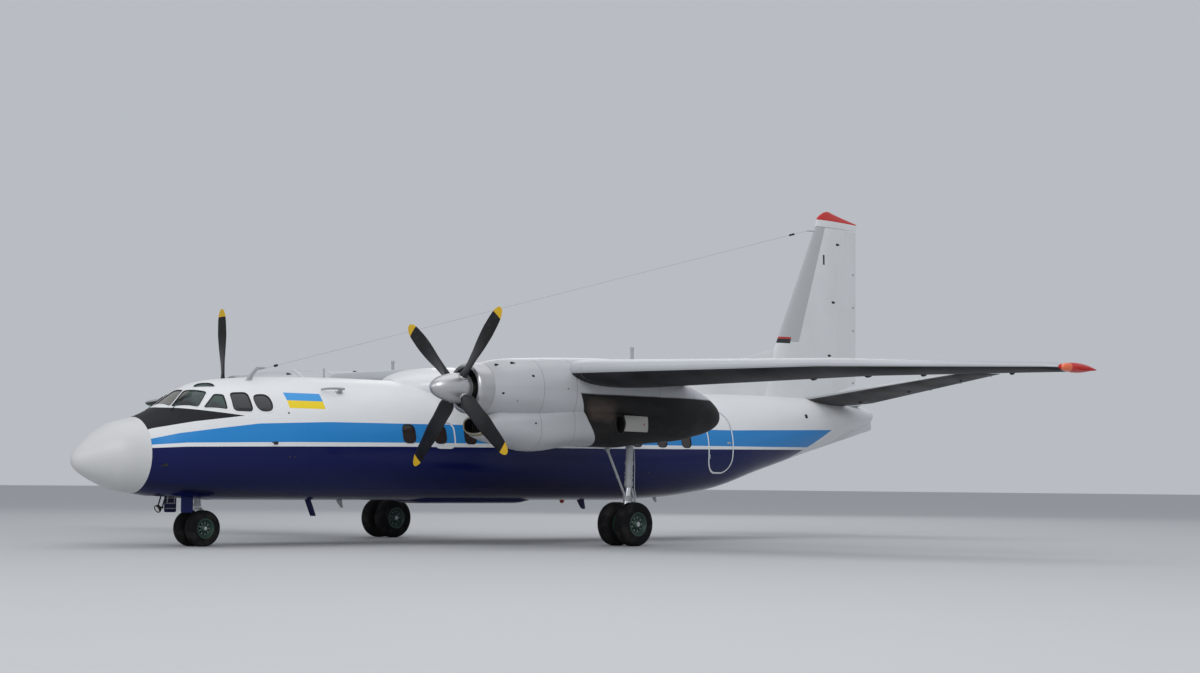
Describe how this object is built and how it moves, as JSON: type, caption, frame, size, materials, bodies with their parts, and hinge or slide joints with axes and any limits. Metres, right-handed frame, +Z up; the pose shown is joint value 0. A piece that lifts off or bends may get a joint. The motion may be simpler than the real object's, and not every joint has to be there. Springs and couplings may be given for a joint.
{
  "type": "twin-turboprop high-wing regional airliner",
  "caption": "High-wing regional airliner with turboprop engines, straight tapered wing, low tailplane and tall fin, parked on tricycle landing gear.",
  "frame": {"origin": "on the ground, on the centreline, halfway between the tip of the nose and the end of the tail", "axes": "+Z up, -Y towards the nose, +X towards the aircraft's left wing tip"},
  "size_m": [29.2, 23.53, 8.32],
  "materials": {
    "white_paint": "semi-gloss white aircraft paint with light soiling",
    "radome_paint": "off-white dielectric paint",
    "wing_paint": "pale grey aircraft paint",
    "cowl_paint": "light grey paint, soot-stained at the exhaust",
    "bare_metal": "bare metal leading edges and rings",
    "spinner_metal": "light metallic spinner",
    "dark_metal": "heat-darkened steel",
    "red_paint": "red dielectric fin cap",
    "blade_black": "matt black blades",
    "tip_yellow": "yellow blade tips",
    "tyre": "worn black rubber",
    "hub_green": "dark green wheel paint",
    "gear_paint": "grey landing gear enamel",
    "chrome": "polished oleo pistons",
    "navy_paint": "dark blue stripe paint",
    "blue_paint": "light blue stripe paint",
    "black_paint": "matt black anti-glare paint",
    "glass": "tinted cabin and cockpit glass",
    "lamp_glass": "coloured lamp glass",
    "rubber": "black de-icing and sealing rubber"
  },
  "bodies": {
    "root": {"aux_jet_nozzle": "dark_metal", "baggage_door": "white_paint", "belly_fairing": "white_paint", "cabin_section": "white_paint", "cargo_door": "white_paint", "cockpit_section": "white_paint", "dorsal_fin": "white_paint", "engine_left": "dark_metal", "engine_right": "dark_metal", "fin": "white_paint", "fin_cap": "red_paint", "intake_ring_left": "bare_metal", "intake_ring_right": "bare_metal", "main_leg_left": "gear_paint", "main_leg_right": "gear_paint", "nacelle_left": "cowl_paint", "nacelle_right": "cowl_paint", "nose_door_left": "navy_paint", "nose_door_right": "navy_paint", "nose_lamp": "black_paint", "nose_leg": "gear_paint", "nose_radome": "radome_paint", "passenger_door": "white_paint", "tail_cone": "white_paint", "tail_section": "white_paint", "tailplane_left": "wing_paint", "tailplane_right": "wing_paint", "ventral_fin": "white_paint", "wing_centre": "wing_paint", "wing_fairing": "white_paint", "wing_outer_left": "wing_paint", "wing_outer_right": "wing_paint"},
    "propeller_left": {"propeller_left": "blade_black", "spinner_left": "spinner_metal"},
    "main_wheels_left": {"main_wheels_left": "hub_green", "main_tyre_inner_left": "tyre", "main_tyre_outer_left": "tyre"},
    "propeller_right": {"propeller_right": "blade_black", "spinner_right": "spinner_metal"},
    "main_wheels_right": {"main_wheels_right": "hub_green", "main_tyre_inner_right": "tyre", "main_tyre_outer_right": "tyre"},
    "nose_steering": {"nose_fork": "gear_paint"},
    "nose_wheels": {"nose_wheels": "hub_green", "nose_tyre_left": "tyre", "nose_tyre_right": "tyre"},
    "flap_inner_left": {"flap_inner_left": "wing_paint"},
    "flap_inner_right": {"flap_inner_right": "wing_paint"},
    "flap_outer_left": {"flap_outer_left": "wing_paint"},
    "flap_outer_right": {"flap_outer_right": "wing_paint"},
    "aileron_left": {"aileron_left": "wing_paint"},
    "aileron_right": {"aileron_right": "wing_paint"},
    "elevator_left": {"elevator_left": "wing_paint"},
    "elevator_right": {"elevator_right": "wing_paint"},
    "rudder": {"rudder": "white_paint"}
  },
  "joints": [
    {"name": "propeller_left_spin", "type": "hinge", "parent": "root", "child": "propeller_left", "pos_m": [3.95, -5.795, 3.09], "axis": [0, 1, 0], "continuous": true},
    {"name": "main_wheels_left_roll", "type": "hinge", "parent": "root", "child": "main_wheels_left", "pos_m": [3.95, -1.215, 0.45], "axis": [1, 0, 0], "continuous": true},
    {"name": "propeller_right_spin", "type": "hinge", "parent": "root", "child": "propeller_right", "pos_m": [-3.95, -5.795, 3.09], "axis": [0, 1, 0], "continuous": true},
    {"name": "main_wheels_right_roll", "type": "hinge", "parent": "root", "child": "main_wheels_right", "pos_m": [-3.95, -1.215, 0.45], "axis": [1, 0, 0], "continuous": true},
    {"name": "nose_steer", "type": "hinge", "parent": "root", "child": "nose_steering", "pos_m": [0, -9.005, 0.76], "axis": [0, 0, 1], "range_deg": [-45, 45]},
    {"name": "nose_wheels_roll", "type": "hinge", "parent": "nose_steering", "child": "nose_wheels", "pos_m": [0, -9.005, 0.35], "axis": [1, 0, 0], "continuous": true},
    {"name": "flap_inner_left_turn", "type": "hinge", "parent": "root", "child": "flap_inner_left", "pos_m": [1.48, -0.7382, 3.279], "axis": [-1, 0, 0], "range_deg": [0, 38]},
    {"name": "flap_inner_right_turn", "type": "hinge", "parent": "root", "child": "flap_inner_right", "pos_m": [-1.48, -0.7382, 3.279], "axis": [-1, 0, 0], "range_deg": [0, 38]},
    {"name": "flap_outer_left_turn", "type": "hinge", "parent": "root", "child": "flap_outer_left", "pos_m": [4.8, -0.7275, 3.2833], "axis": [-0.9993, -0.0358, -0.0137], "range_deg": [0, 38]},
    {"name": "flap_outer_right_turn", "type": "hinge", "parent": "root", "child": "flap_outer_right", "pos_m": [-4.8, -0.7275, 3.2833], "axis": [-0.9993, 0.0358, 0.0137], "range_deg": [0, 38]},
    {"name": "aileron_left_turn", "type": "hinge", "parent": "root", "child": "aileron_left", "pos_m": [9.5, -0.6047, 3.4376], "axis": [-0.999, -0.0405, 0.0203], "range_deg": [-20, 20]},
    {"name": "aileron_right_turn", "type": "hinge", "parent": "root", "child": "aileron_right", "pos_m": [-9.5, -0.6047, 3.4376], "axis": [-0.999, 0.0405, -0.0203], "range_deg": [-20, 20]},
    {"name": "elevator_left_turn", "type": "hinge", "parent": "root", "child": "elevator_left", "pos_m": [0.3, 10.2258, 3.38184], "axis": [0.9809, 0.1172, 0.1554], "range_deg": [-15, 30]},
    {"name": "elevator_right_turn", "type": "hinge", "parent": "root", "child": "elevator_right", "pos_m": [-0.3, 10.2258, 3.38184], "axis": [0.9809, -0.1172, -0.1554], "range_deg": [-15, 30]},
    {"name": "rudder_turn", "type": "hinge", "parent": "root", "child": "rudder", "pos_m": [0, 9.945, 3.62], "axis": [0, 0.1258, 0.9921], "range_deg": [-25, 25]}
  ],
  "couplings": [
    {"joint": "flap_inner_right_turn", "follows": "flap_inner_left_turn", "ratio": 1},
    {"joint": "flap_outer_left_turn", "follows": "flap_inner_left_turn", "ratio": 1},
    {"joint": "flap_outer_right_turn", "follows": "flap_inner_left_turn", "ratio": 1},
    {"joint": "aileron_right_turn", "follows": "aileron_left_turn", "ratio": -1},
    {"joint": "elevator_right_turn", "follows": "elevator_left_turn", "ratio": 1}
  ]
}
